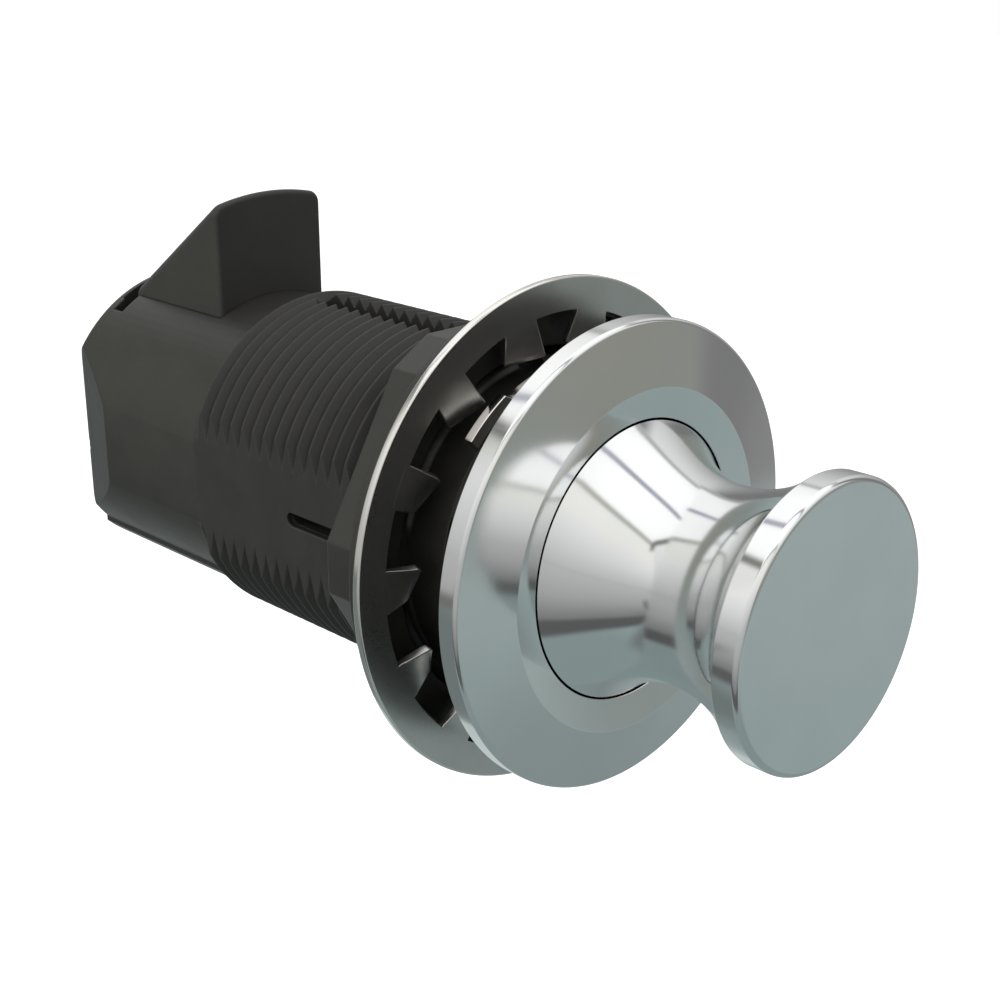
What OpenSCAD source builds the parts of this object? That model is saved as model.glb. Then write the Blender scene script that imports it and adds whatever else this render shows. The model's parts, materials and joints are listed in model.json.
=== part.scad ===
// Push-to-close latch for a 30 mm panel hole.
// The axis of the latch is +Y: the knob points to -Y, the bolt stands up along +Z.
// The origin is on the axis, in the face of the escutcheon that seats on the panel.

/* [Escutcheon] */
// Outer radius of the escutcheon
escutcheon_r = 19; // [17.5:0.25:23]
// Height of its cylindrical rim
rim_h = 1.4; // [1:0.1:2.5]
// Radius of the ridge between the outer cone and the inner dish
ridge_r = 13.9; // [13:0.1:15]
// Height of that ridge above the rim
ridge_h = 1.55; // [0.8:0.05:2.5]
// Depth of the dish from the ridge down to the knob's hole
dish_h = 0.6; // [0.2:0.05:1]
// Radius of the fillet on the rim's front edge
rim_fillet = 0.4; // [0.2:0.05:0.8]
// Depth of the recess behind the escutcheon that takes the barrel's collar
collar_recess = 0.4; // [0.2:0.1:0.8]
// Wall of the hub that enters the barrel
hub_wall = 1.15; // [0.9:0.05:1.3]
// Length of that hub
hub_l = 3; // [1.5:0.25:3.75]

/* [Knob] */
// Radius of the grip disc and of the skirt
knob_r = 11.2; // [10:0.1:11.2]
// Thickness of the grip disc
disc_t = 2.2; // [1.5:0.1:4]
// Length of the waist in front of the hole, up to the back of the disc
waist_l = 16.2; // [13:0.2:20]
// Radius of the waist at its narrowest
waist_r = 8; // [6.5:0.1:9]
// Distance of the narrowest place from the hole
waist_at = 7.7; // [6:0.1:9]
// Fillet on the disc's edges
disc_fillet = 0.5; // [0.2:0.1:0.9]
// Length of the skirt that slides inside the barrel, from the hole inwards
skirt_l = 12.9; // [11:0.1:13.4]
// Wall of the skirt
skirt_wall = 1.75; // [1.2:0.05:2.5]
// Depth of the skirt's hollow
skirt_depth = 4.5; // [3:0.5:6]

/* [Barrel] */
// Radius of the thread crest, half of the nominal 30 mm
thread_r = 15; // [14.8:0.05:15.6]
// Thread pitch
pitch = 1.5; // [1.25:0.25:2]
// Depth of the thread
thread_depth = 0.95; // [0.7:0.05:1.1]
// Half the distance across the two flats
flat_x = 13.5; // [13.2:0.1:14.2]
// Radius of the collar behind the escutcheon
collar_r = 14.6; // [14.2:0.1:14.9]
// Length of the collar
collar_l = 4.3; // [4.2:0.1:5]
// Radius of the plain neck in front of the thread
neck_r = 13.6; // [13.55:0.05:13.8]
// Where the thread starts behind the seat face
thread_start = 9.6; // [8:0.1:12]
// Where the thread ends
thread_end = 37.1; // [33:0.5:37.6]
// Width of the keyway along the top of the thread
keyway_w = 2.8; // [2:0.2:4]
// Depth of the keyway under the crest
keyway_depth = 2.1; // [1.5:0.1:2.5]
// Rear end of the keyway
keyway_end = 35.4; // [31:0.2:36.4]
// Width of the slit in each flat
slit_w = 1.2; // [0.8:0.1:2]
// Rear end of the slit
slit_end = 24.4; // [20:0.2:30]
// Depth of the slit
slit_depth = 2.4; // [1.5:0.1:3]

/* [Block] */
// Radius of the rear block, under the thread's root so that the nut passes over it
block_r = 14; // [13.8:0.05:14]
// Rear end of the whole latch
block_end = 58.8; // [58:0.2:62]
// Thickness of the rear cover
rear_cover_t = 1.6; // [1.2:0.1:2.5]
// Fillet on the cover's rear edge
rear_fillet = 1; // [0.4:0.1:1.2]
// Where the side tapers start
taper_start = 51.8; // [48:0.2:54]
// Slope of the side tapers in degrees
taper_deg = 18.5; // [8:0.5:22]
// Half the width of the spring cover under the block
cover_half_w = 10; // [8:0.25:10.5]
// Thickness of the spring cover
cover_t = 1.3; // [1:0.1:1.6]
// Height by which the spring cover stands proud
cover_proud = 0.3; // [0:0.05:0.5]
// Front end of the spring cover
cover_start = 38.9; // [38:0.1:40]
// Half the width of the cross slot behind the bolt
cross_slot_x = 8.2; // [6.5:0.1:9]
// Depth of the cross slot under the block's top
cross_slot_depth = 7; // [3:0.5:8]

/* [Bolt] */
// Width of the bolt
bolt_w = 12; // [10:0.5:12.5]
// Distance of the bolt's bearing face behind the seat face
bearing_y = 42.7; // [42:0.1:44]
// Length of the bolt along the axis
bolt_l = 13; // [12:0.1:13]
// Radius of the bolt's arched top, measured from the latch's axis
bolt_top_r = 23.4; // [21:0.1:25]
// Slope of the slanted rear face in degrees
ramp_deg = 35.5; // [30:0.5:40]
// Length of the flat top in front of the slanted face
bolt_crown = 0.9; // [0.5:0.1:2]
// Travel of the bolt and of the knob
travel = 9; // [6:0.25:9]
// Rounding of the bolt's visible edges
bolt_round = 0.9; // [0.3:0.1:1.2]
// Lower end of the bolt at rest
bolt_foot = -2.2; // [-2.2:0.1:0]
// Width by which the foot's stop lugs stand out on each side
lug_w = 0.9; // [0.4:0.1:1]
// Height of the stop lugs
lug_h = 3.2; // [2:0.2:3.4]
// Distance of the lugs above the foot
lug_start = 0.8; // [0:0.2:1]
// Radius of the cam pin
cam_pin_r = 1.2; // [0.9:0.1:1.5]

/* [Star washer] */
// Outer radius of the star washer
washer_r = 21; // [20:0.25:23]
// Thickness of the star washer
washer_t = 0.7; // [0.5:0.1:1]
// Radius of the ring's inner edge, where the teeth start
washer_in_r = 18.3; // [17.5:0.1:18.8]
// Front face of the star washer, the panel's thickness when it is clamped
washer_y = 6.4; // [5.8:0.1:12]
// Number of teeth
teeth = 14; // [8:1:18]
// Width of a tooth at its root
tooth_w = 3.6; // [2.5:0.1:4.5]
// Width of a tooth at its tip as a share of the root's
tooth_taper = 0.84; // [0.6:0.02:1]
// Twist of a tooth in degrees
tooth_twist = 29; // [15:1:35]

/* [Clamp nut] */
// Radius of the nut's flange
flange_r = 19.6; // [19:0.1:22]
// Thickness of the flange
flange_t = 2.15; // [1.6:0.05:3]
// Whole length of the nut
nut_l = 6.65; // [5:0.05:10]
// Half the distance across the nut's flats
nut_flat = 16.6; // [16.2:0.1:17.5]
// Half angle of each cut corner in degrees
corner_deg = 6.75; // [4:0.25:10]
// Radius of the recess that clears the washer's teeth
nut_recess_r = 18; // [17:0.1:18.4]
// Depth of that recess
nut_recess = 1.35; // [1.2:0.05:1.5]

/* [Retaining clip] */
// Outer radius of the spring clip on the neck
clip_r = 15.65; // [15:0.05:16]
// Thickness of the clip
clip_t = 0.85; // [0.6:0.05:1]
// Half angle of the clip's gap in degrees
clip_gap_deg = 43.5; // [30:0.5:60]
// Depth of the groove under the neck
groove_depth = 0.8; // [0.4:0.05:0.9]

/* [Pull stem and springs] */
// Outer radius of the pull stem
stem_r = 5; // [4.6:0.1:5.2]
// Where the stem meets the knob
stem_front = 6; // [5:0.25:7]
// Rear end of the stem
stem_end = 35; // [33:0.5:36]
// Radius of the screw's socket inside the stem
socket_r = 3.6; // [3.4:0.05:3.8]
// Thickness of the stem's front wall under the screw head
stem_wall = 2.5; // [2:0.25:4]
// Radius of the knob screw's shank
screw_r = 2; // [1.5:0.25:2.5]
// Depth of the knob screw in the knob
screw_depth = 14; // [8:1:16]
// Front of the wall that carries the guide bush
bush_wall_y = 13; // [12.5:0.25:14]
// Thickness of that wall
bush_wall = 3; // [2:0.25:4]
// Wall of the guide bush
bush_t = 1.15; // [0.9:0.05:1.4]
// Thickness of the bush's flange
bush_flange = 1.2; // [0.8:0.1:2]
// Radius of the chamber of the knob spring
chamber_r = 8.5; // [8.2:0.1:9]
// Radius of the knob spring's wire
knob_wire_r = 0.5; // [0.35:0.05:0.6]
// Turns of the knob spring
knob_turns = 6; // [4:0.5:6]
// Radius of the bolt springs' wire
bolt_wire_r = 0.22; // [0.15:0.01:0.3]
// Mean radius of the bolt springs
bolt_spring_r = 1.2; // [1:0.05:1.35]
// Turns of the bolt springs
bolt_turns = 13; // [8:1:15]
// Sideways place of the bolt springs
bolt_spring_x = 3.95; // [3.8:0.05:4.1]
// Thickness of the cam yoke's blade
blade_t = 3; // [2:0.2:3.4]

/* [Fits] */
// Radial clearance of sliding pieces
slide_gap = 0.1; // [0.05:0.01:0.15]
// Radial gap round the knob in the escutcheon's hole
knob_gap = 0.2; // [0.15:0.05:0.3]
// Gap between pieces that are fixed to each other
seat_gap = 0.05; // [0.02:0.01:0.1]
// Radial clearance of the nut on the thread
thread_gap = 0.08; // [0.05:0.01:0.1]

/* [Hidden] */
$fn = 96;
far = 100;
eps = 0.01;
plastic = "#2c2c2a";
chrome = "#c9cccb";
steel = "#9a9a98";
acetal = "#d8d6cc";

// Front faces, all measured from the seat face
ridge_y = -(rim_h + ridge_h);
hole_y = ridge_y + dish_h;
disc_back = hole_y - waist_l;
knob_front = disc_back - disc_t;
hole_r = knob_r + knob_gap;
hub_r = hole_r + hub_wall;
collar_y = -collar_recess;

// Inside of the barrel
hub_bore = hub_r + seat_gap;
bore_r = knob_r + 2 * knob_gap;
groove_r = neck_r - groove_depth;
bush_r = stem_r + slide_gap + bush_t;
bush_y = bush_wall_y + bush_wall;
spring_y = bush_y + bush_flange;
seat_t = 1;
collar_t = 1.5;
seat_y = stem_end - collar_t - seat_t;
knob_spring_r = stem_r + slide_gap + 2 * knob_wire_r + 0.9;
chamber_end = stem_end + 4;

// Rear block
rear_y = block_end - rear_cover_t;
cover_r = block_r + cover_proud;
cover_in_r = cover_r - cover_t;
taper_at = function(y) flat_x - max(0, y - taper_start) * tan(taper_deg);
pocket_x = bolt_w / 2 + slide_gap;
pocket_y = bearing_y - slide_gap;
bolt_end = bearing_y + bolt_l;
lug_x = bolt_w / 2 + lug_w;
lug_top = bolt_foot + lug_start + lug_h;
screw_x = 9.3;
screw_z = -2;
cover_screw_r = 1.1;
cover_screw_l = 9;
cover_head_r = 1.9;
cover_head_t = 0.9;

// Bolt and cam: the pin rides on the blade's slope of 45 degrees
shank_relief = 0.2;
nose_z = block_r + 0.2;
crown_end = bearing_y + bolt_crown;
ramp_z = function(y) bolt_top_r - (y - crown_end) * tan(ramp_deg);
pin_y = bearing_y + 2.5;
pin_z = 4.5;
blade_gap = 0.3;
blade_half = blade_t / 2;
cam_reach = cam_pin_r * sqrt(2) + slide_gap;
cam_z = function(y) pin_z + cam_reach - (y - pin_y);
window_y = pin_y - cam_pin_r - blade_gap;
window_end = pin_y + travel + cam_pin_r + blade_gap;
window_z = pin_z - travel - cam_pin_r - blade_gap;
blade_end = window_end + 1.2;
blade_top = 8;
blade_foot = -8.9;
blade_start = window_y - 3.4;
tongue_h = 3;
blade_slope = 3.6;
blade_top_y = blade_end - (blade_top - cam_z(blade_end) - blade_slope);
plug_r = socket_r - seat_gap;
plug_l = 8;
yoke_pin_y = stem_end - plug_l + 2.5;
yoke_pin_r = 1;
bolt_spring_y = pin_y + 5.4;
bolt_bore_r = bolt_spring_r + bolt_wire_r + 0.2;
bolt_bore_top = 9;
spring_pad_z = -(cover_in_r - 0.75);

// Nut and washer
washer_back = washer_y + washer_t;
nut_y = washer_back + seat_gap;
tooth_tip_r = 15.4;
tooth_root_overlap = 0.3;
key_floor = thread_r - keyway_depth;

// Turns a profile of (radius, y) points round the latch's axis
module turned() {
    rotate([-90, 0, 0]) rotate_extrude() children();
}

// Rod along the axis from y0 to y1
module rod(r, y0, y1) {
    translate([0, y0, 0]) rotate([-90, 0, 0]) cylinder(r = r, h = y1 - y0);
}

// Extrudes an outline of (y, z) points along X between two places
module across(x0, x1) {
    translate([x0, 0, 0]) rotate([90, 0, 90]) linear_extrude(height = x1 - x0) children();
}

// Extrudes an outline of (x, z) points along Y between two places
module along(y0, y1) {
    translate([0, y1, 0]) rotate([90, 0, 0]) linear_extrude(height = y1 - y0) children();
}

// Box between two corners
module block_between(low, high) {
    translate(low) cube(high - low);
}

// Rectangle between two corners
module rect_between(low, high) {
    translate(low) square(high - low);
}

// What a fillet takes off a square corner at the origin that fills the quadrant given by sx and sy
module corner_cut(r, sx, sy) {
    scale_x = sx < 0 ? 1 : 0;
    scale_y = sy < 0 ? 1 : 0;
    mirror([scale_x, 0]) mirror([0, scale_y]) difference() {
        translate([-eps, -eps]) square(r + eps);
        translate([r, r]) circle(r = r);
    }
}

// Closed skin of triangles over rings of points that follow each other along a path
module skin(points, rings, sides) {
    walls = [
        for (i = [0 : rings - 1], k = [0 : sides - 1])
            let (n = (k + 1) % sides, a = i * sides, b = a + sides)
                each [[a + k, b + k, b + n], [a + k, b + n, a + n]]
    ];
    first = [for (k = [1 : sides - 2]) [0, k, k + 1]];
    last = [for (k = [1 : sides - 2]) [rings * sides, rings * sides + k + 1, rings * sides + k]];
    polyhedron(points = points, faces = concat(walls, first, last), convexity = 10);
}

// Steel wire wound round a line along +Z: sides of the wire and steps of a turn stay few
function coil_ring(a, r, wire_r, z, sides) = [
    for (k = [0 : sides - 1])
        let (b = 360 * k / sides, q = r + wire_r * cos(b))
            [q * cos(a), q * sin(a), z + wire_r * sin(b)]
];

module coil(r, wire_r, length, turns, steps, sides) {
    rings = ceil(turns * steps);
    rise = length - 2 * wire_r;
    points = [
        for (i = [0 : rings])
            each coil_ring(360 * turns * i / rings, r, wire_r, wire_r + rise * i / rings, sides)
    ];
    skin(points, rings, sides);
}

// The wedge between the two side tapers, kept by every piece at the rear
module rear_wedge(reach) {
    end = block_end + reach;
    plan = [
        [-flat_x, collar_y - reach], [flat_x, collar_y - reach],
        [flat_x, taper_start], [taper_at(end), end],
        [-taper_at(end), end], [-flat_x, taper_start]
    ];
    translate([0, 0, -far / 2]) linear_extrude(height = far) polygon(plan);
}

// Outline of the whole barrel as (radius, y): collar, groove, neck, thread and block
module barrel_outline() {
    root_r = thread_r - thread_depth;
    crest = pitch / 8;
    flank = (pitch - crest) / 2;
    first_y = thread_start + thread_depth / 2 + crest;
    grooves = floor((thread_end - first_y) / pitch);
    thread = [
        for (i = [0 : grooves - 1])
            let (y = first_y + pitch * (i + 0.5))
                each [[thread_r, y - flank], [root_r, y], [thread_r, y + flank]]
    ];
    last_y = first_y + pitch * grooves;
    polygon(concat(
        [[0, collar_y], [collar_r, collar_y], [collar_r, collar_l]],
        [[groove_r, collar_l], [groove_r, collar_l + clip_t + 2 * seat_gap]],
        [[neck_r, collar_l + clip_t + 2 * seat_gap], [neck_r, thread_start - thread_depth / 2]],
        [[thread_r, thread_start + thread_depth / 2]],
        thread,
        [[thread_r, last_y], [block_r, min(last_y + thread_depth, thread_end + crest)]],
        [[block_r, rear_y], [0, rear_y]]
    ));
}

// Hollow of the barrel as (radius, y): hub seat, skirt bore, bush wall and spring chamber
module barrel_hollow() {
    polygon([
        [0, collar_y - 1], [hub_bore, collar_y - 1], [hub_bore, hub_l + seat_gap],
        [bore_r, hub_l + seat_gap], [bore_r, bush_wall_y],
        [bush_r + seat_gap, bush_wall_y], [bush_r + seat_gap, bush_y],
        [chamber_r, bush_y], [chamber_r, chamber_end], [0, chamber_end]
    ]);
}

module housing() {
    color(plastic) difference() {
        intersection() {
            turned() barrel_outline();
            rear_wedge(1);
        }
        turned() barrel_hollow();
        // keyway along the top of the thread, with a round rear end
        keyway_arc_y = keyway_end - keyway_w / 2;
        block_between([-keyway_w / 2, collar_l + clip_t, key_floor], [keyway_w / 2, keyway_arc_y, far]);
        translate([0, keyway_arc_y, key_floor]) cylinder(r = keyway_w / 2, h = far);
        // slit in each flat, with a round rear end
        for (side = [-1, 1]) {
            slit_in = side * (flat_x - slit_depth);
            slit_out = side * (flat_x + 1);
            block_between(
                [min(slit_in, slit_out), thread_start + 1, -slit_w / 2],
                [max(slit_in, slit_out), slit_end - slit_w / 2, slit_w / 2]
            );
            translate([min(slit_in, slit_out), slit_end - slit_w / 2, 0])
                rotate([0, 90, 0]) cylinder(r = slit_w / 2, h = slit_depth + 1);
        }
        // guide slot of the cam blade
        block_between(
            [-blade_half - blade_gap, stem_end - travel - 1, blade_foot - blade_gap],
            [blade_half + blade_gap, rear_y + 1, blade_top + blade_gap]
        );
        // bolt pocket: close fit on the shank, wider below for the stop lugs
        block_between([-pocket_x, pocket_y, -far], [pocket_x, bolt_end + slide_gap, far]);
        block_between(
            [-lug_x - slide_gap, pocket_y, -far],
            [lug_x + slide_gap, bolt_end + slide_gap, lug_top + slide_gap]
        );
        // cross slot behind the bolt and the room for the blade's end
        block_between(
            [-cross_slot_x, bolt_end, block_r - cross_slot_depth],
            [cross_slot_x, rear_y + 1, far]
        );
        block_between([-pocket_x, bolt_end, -far], [pocket_x, rear_y + 1, far]);
        // seat of the spring cover
        difference() {
            block_between(
                [-cover_half_w - seat_gap, cover_start - seat_gap, -far],
                [cover_half_w + seat_gap, rear_y + 1, 0]
            );
            rod(cover_in_r - seat_gap, cover_start - 1, rear_y + 2);
        }
        // pilot holes of the cover screws
        for (side = [-1, 1])
            translate([side * screw_x, rear_y - cover_screw_l, screw_z])
                rotate([-90, 0, 0]) cylinder(r = cover_screw_r + seat_gap, h = cover_screw_l + 1);
    }
}

module rear_cover() {
    notch_x = 6.9;
    notch_l = 0.35;
    color(plastic) difference() {
        intersection() {
            turned() difference() {
                rect_between([0, rear_y], [block_r, block_end]);
                translate([block_r, block_end]) corner_cut(rear_fillet, -1, -1);
            }
            rear_wedge(1);
        }
        // room for the spring cover, which runs under the rear cover
        difference() {
            block_between(
                [-cover_half_w - seat_gap, rear_y - 1, -far],
                [cover_half_w + seat_gap, block_end + 1, 0]
            );
            rod(cover_in_r - seat_gap, rear_y - 2, block_end + 2);
        }
        block_between([-notch_x, rear_y - 1, block_r - 4], [notch_x, rear_y + notch_l, far]);
        for (side = [-1, 1]) translate([side * screw_x, 0, screw_z]) {
            rod(cover_screw_r + seat_gap, rear_y - 1, block_end + 1);
            rod(cover_head_r + seat_gap, block_end - cover_head_t, block_end + 1);
        }
    }
}

module cover_screws() {
    recess_r = 0.9;
    color(steel) for (side = [-1, 1]) translate([side * screw_x, 0, screw_z]) difference() {
        union() {
            rod(cover_screw_r, rear_y - cover_screw_l + 1, block_end - cover_head_t + eps);
            rod(cover_head_r, block_end - cover_head_t, block_end - 0.1);
        }
        // six-lobe drive
        translate([0, block_end - cover_head_t + 0.2, 0]) rotate([-90, 0, 0])
            cylinder(r = recess_r, h = 1, $fn = 6);
    }
}

// Curved plate that closes the block's underside, with a pad and a peg for each bolt spring
module spring_cover() {
    end = block_end - 0.2;
    pad_r = bolt_spring_r + bolt_wire_r + 0.15;
    pad_top = spring_pad_z - seat_gap;
    pad_h = 1;
    peg_r = bolt_spring_r - bolt_wire_r - 0.15;
    peg_h = 1;
    color(plastic) {
        difference() {
            union() {
                difference() {
                    rod(cover_r, cover_start, end);
                    rod(cover_in_r, cover_start - 1, end + 1);
                }
                for (side = [-1, 1]) translate([side * bolt_spring_x, bolt_spring_y, pad_top - pad_h])
                    cylinder(r = pad_r, h = pad_h);
            }
            block_between([-far, cover_start - 1, -cover_in_r * cos(50)], [far, end + 1, far]);
            for (side = [-1, 1]) {
                block_between(
                    [side > 0 ? cover_half_w : -far, cover_start - 1, -far],
                    [side > 0 ? far : -cover_half_w, end + 1, far]
                );
                translate([side * bolt_spring_x, bolt_spring_y, pad_top]) cylinder(r = pad_r, h = far);
            }
        }
        for (side = [-1, 1]) translate([side * bolt_spring_x, bolt_spring_y, pad_top - eps])
            cylinder(r = peg_r, h = peg_h);
    }
}

module escutcheon() {
    edge_r = escutcheon_r - rim_fillet;
    color(chrome) turned() difference() {
        union() {
            polygon([
                [hole_r, hole_y], [ridge_r, ridge_y], [edge_r, -rim_h],
                [escutcheon_r, -rim_h + rim_fillet], [escutcheon_r, 0],
                [collar_r + 0.6, 0], [collar_r + 0.6, collar_y],
                [hub_r, collar_y], [hub_r, hub_l], [hole_r, hub_l]
            ]);
            intersection() {
                translate([edge_r, -rim_h + rim_fillet]) circle(r = rim_fillet);
                rect_between([edge_r - eps, -rim_h], [escutcheon_r, 0]);
            }
        }
        rect_between([0, hole_y - 5], [hole_r, hub_l + 1]);
    }
}

// Flanged bush that guides the stem; the knob spring holds it against the wall
module guide_bush() {
    inner = stem_r + slide_gap;
    color(acetal) turned() polygon([
        [inner, bush_wall_y], [bush_r, bush_wall_y], [bush_r, bush_y],
        [chamber_r - slide_gap, bush_y], [chamber_r - slide_gap, spring_y], [inner, spring_y]
    ]);
}

// Open spring ring in the groove behind the collar
module retaining_clip() {
    y0 = collar_l + seat_gap;
    reach = 2 * clip_r;
    color(steel) difference() {
        rod(clip_r, y0, y0 + clip_t);
        rod(groove_r + seat_gap, y0 - 1, y0 + clip_t + 1);
        translate([0, y0 + clip_t + 1, 0]) rotate([90, 0, 0]) linear_extrude(height = clip_t + 2) polygon([
            [0, 0],
            [-reach * cos(clip_gap_deg), reach * sin(clip_gap_deg)],
            [-reach * cos(clip_gap_deg), -reach * sin(clip_gap_deg)]
        ]);
    }
}

// Grip disc, waist of two arcs that meet at its narrowest place, and skirt
module knob_outline() {
    narrow_y = hole_y - waist_at;
    dip = knob_r - waist_r;
    front_run = narrow_y - disc_back;
    front_arc = (dip * dip + front_run * front_run) / (2 * dip);
    rear_arc = (dip * dip + waist_at * waist_at) / (2 * dip);
    difference() {
        rect_between([0, knob_front], [knob_r, hole_y + skirt_l]);
        intersection() {
            translate([waist_r + front_arc, narrow_y]) circle(r = front_arc);
            rect_between([0, disc_back], [knob_r + 1, narrow_y]);
        }
        intersection() {
            translate([waist_r + rear_arc, narrow_y]) circle(r = rear_arc);
            rect_between([0, narrow_y], [knob_r + 1, hole_y]);
        }
        translate([knob_r, knob_front]) corner_cut(disc_fillet, -1, 1);
    }
}

module knob() {
    end = hole_y + skirt_l;
    color(chrome) difference() {
        turned() difference() {
            knob_outline();
            rect_between([stem_r + 1.2, end - skirt_depth], [knob_r - skirt_wall, end + 1]);
        }
        rod(stem_r + seat_gap, stem_front, end + 1);
        rod(screw_r + seat_gap, stem_front - screw_depth, stem_front + 1);
    }
}

module knob_screw() {
    head_y = stem_front + stem_wall;
    head_h = 3.4;
    key_r = 1.7;
    color(steel) difference() {
        union() {
            rod(screw_r, stem_front - screw_depth + 1, head_y + eps);
            rod(socket_r - 0.15, head_y, head_y + head_h);
        }
        rod_key(key_r, head_y + head_h - 2, head_y + head_h + 1);
    }
}

// Hexagon socket along the axis
module rod_key(r, y0, y1) {
    translate([0, y0, 0]) rotate([-90, 0, 0]) cylinder(r = r, h = y1 - y0, $fn = 6);
}

module pull_stem() {
    collar = stem_r + 0.9;
    color(plastic) difference() {
        union() {
            rod(stem_r, stem_front, stem_end);
            rod(collar, seat_y + seat_t, stem_end);
        }
        rod(socket_r, stem_front + stem_wall, stem_end + 1);
        rod(screw_r + seat_gap, stem_front - 1, stem_front + stem_wall + 1);
        translate([-far / 2, yoke_pin_y, 0]) rotate([0, 90, 0]) cylinder(r = yoke_pin_r + eps, h = far);
    }
}

module spring_seat() {
    color(steel) turned()
        rect_between([stem_r + seat_gap, seat_y], [chamber_r - 0.3, seat_y + seat_t - eps]);
}

// Blade with the window whose slope drives the bolt's pin
module cam_yoke() {
    outline = [
        [stem_end - 1, -tongue_h], [blade_start - 3, -tongue_h], [blade_start, blade_foot],
        [blade_end, blade_foot], [blade_end, cam_z(blade_end) + blade_slope],
        [blade_top_y, blade_top], [blade_start, blade_top], [blade_start - 3, tongue_h], [stem_end - 1, tongue_h]
    ];
    window = [
        [window_y, window_z], [window_y, cam_z(window_y)],
        [window_end, cam_z(window_end)], [window_end, window_z]
    ];
    color(steel) difference() {
        union() {
            rod(plug_r, stem_end - plug_l, stem_end - 0.5);
            across(-blade_half, blade_half) polygon(outline);
        }
        across(-blade_t, blade_t) polygon(window);
        translate([-far / 2, yoke_pin_y, 0]) rotate([0, 90, 0]) cylinder(r = yoke_pin_r + eps, h = far);
    }
}

module yoke_pin() {
    color(steel) translate([-stem_r + 0.3, yoke_pin_y, 0])
        rotate([0, 90, 0]) cylinder(r = yoke_pin_r, h = 2 * stem_r - 0.6);
}

module knob_spring() {
    length = seat_y - spring_y;
    color(steel) translate([0, spring_y, 0]) rotate([-90, 0, 0])
        coil(knob_spring_r, knob_wire_r, length, knob_turns, 20, 6);
}

// Front view of the bolt as (x, z): straight sides, arched top and round shoulders
module bolt_front() {
    half = bolt_w / 2;
    inner_r = bolt_top_r - bolt_round;
    shoulder_x = half - bolt_round;
    shoulder_z = sqrt(inner_r * inner_r - shoulder_x * shoulder_x);
    rise = bolt_top_r * cos(asin(shoulder_x / inner_r));
    union() {
        intersection() {
            circle(r = bolt_top_r);
            polygon([
                [0, 0], [bolt_top_r * shoulder_x / inner_r, rise],
                [0, far], [-bolt_top_r * shoulder_x / inner_r, rise]
            ]);
        }
        rect_between([-shoulder_x, bolt_foot], [shoulder_x, shoulder_z + eps]);
        rect_between([-half, bolt_foot], [half, shoulder_z]);
        for (side = [-1, 1]) translate([side * shoulder_x, shoulder_z]) circle(r = bolt_round);
    }
}

// Plan of the bolt as (x, y) with round corners in front
module bolt_plan() {
    half = bolt_w / 2;
    difference() {
        rect_between([-half, bearing_y], [half, bolt_end]);
        for (side = [-1, 1])
            translate([side * half, bearing_y]) corner_cut(bolt_round, -side, 1);
    }
}

// Side of the bolt as (y, z)
module bolt_side() {
    difference() {
        polygon([
            [bearing_y + shank_relief, bolt_foot], [bearing_y + shank_relief, nose_z],
            [bearing_y, nose_z + shank_relief], [bearing_y, bolt_top_r], [crown_end, bolt_top_r],
            [bolt_end, ramp_z(bolt_end)], [bolt_end, bolt_foot]
        ]);
        translate([bearing_y, bolt_top_r]) corner_cut(bolt_round, 1, -1);
    }
}

module bolt() {
    bore_bottom = bolt_foot - 1;
    slot_top = blade_top + travel + 2 * blade_gap;
    slant_y = blade_top_y + 2 * blade_gap;
    color(plastic) difference() {
        union() {
            intersection() {
                along(bearing_y - 1, bolt_end + 1) bolt_front();
                across(-far / 2, far / 2) bolt_side();
                translate([0, 0, -far / 2]) linear_extrude(height = far) bolt_plan();
            }
            block_between([-lug_x, bearing_y + shank_relief, lug_top - lug_h], [lug_x, bolt_end, lug_top]);
        }
        // slot for the cam blade, open below
        across(-blade_half - blade_gap, blade_half + blade_gap) polygon([
            [bearing_y - 1, bore_bottom], [bearing_y - 1, slot_top], [slant_y, slot_top],
            [bolt_end + 1, slot_top - (bolt_end + 1 - slant_y)], [bolt_end + 1, bore_bottom]
        ]);
        for (side = [-1, 1])
            translate([side * bolt_spring_x, bolt_spring_y, bore_bottom])
                cylinder(r = bolt_bore_r, h = bolt_bore_top - bore_bottom);
        translate([-far / 2, pin_y, pin_z]) rotate([0, 90, 0]) cylinder(r = cam_pin_r + eps, h = far);
    }
}

module cam_pin() {
    color(steel) translate([-bolt_w / 2 + 0.2, pin_y, pin_z])
        rotate([0, 90, 0]) cylinder(r = cam_pin_r, h = bolt_w - 0.4);
}

module bolt_spring(side) {
    color(steel) translate([side * bolt_spring_x, bolt_spring_y, spring_pad_z])
        coil(bolt_spring_r, bolt_wire_r, bolt_bore_top - spring_pad_z, bolt_turns, 10, 5);
}

// Corners of a tooth's cross section at a place between its root (0) and its tip (1), along +X
function tooth_section(at) = let (
    r = washer_in_r + tooth_root_overlap - at * (washer_in_r + tooth_root_overlap - tooth_tip_r),
    half = tooth_w / 2 * (1 - at * (1 - tooth_taper)),
    a = tooth_twist * max(0, at - 0.2) / 0.8,
    mid_y = washer_y + washer_t / 2
) [
    for (c = [[-1, -1], [1, -1], [1, 1], [-1, 1]])
        let (u = c[0] * half, v = c[1] * washer_t / 2)
            [r, mid_y + u * tan(a) + v, u - v * sin(a)]
];

// Tooth that narrows towards the axis and twists behind its root
module tooth() {
    steps = 5;
    points = [for (i = [0 : steps]) each tooth_section(i / steps)];
    skin(points, steps, 4);
}

module star_washer() {
    color(steel) union() {
        turned() rect_between([washer_in_r, washer_y], [washer_r, washer_back]);
        for (i = [0 : teeth - 1]) rotate([0, 180 + 360 * i / teeth, 0]) tooth();
    }
}

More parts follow.
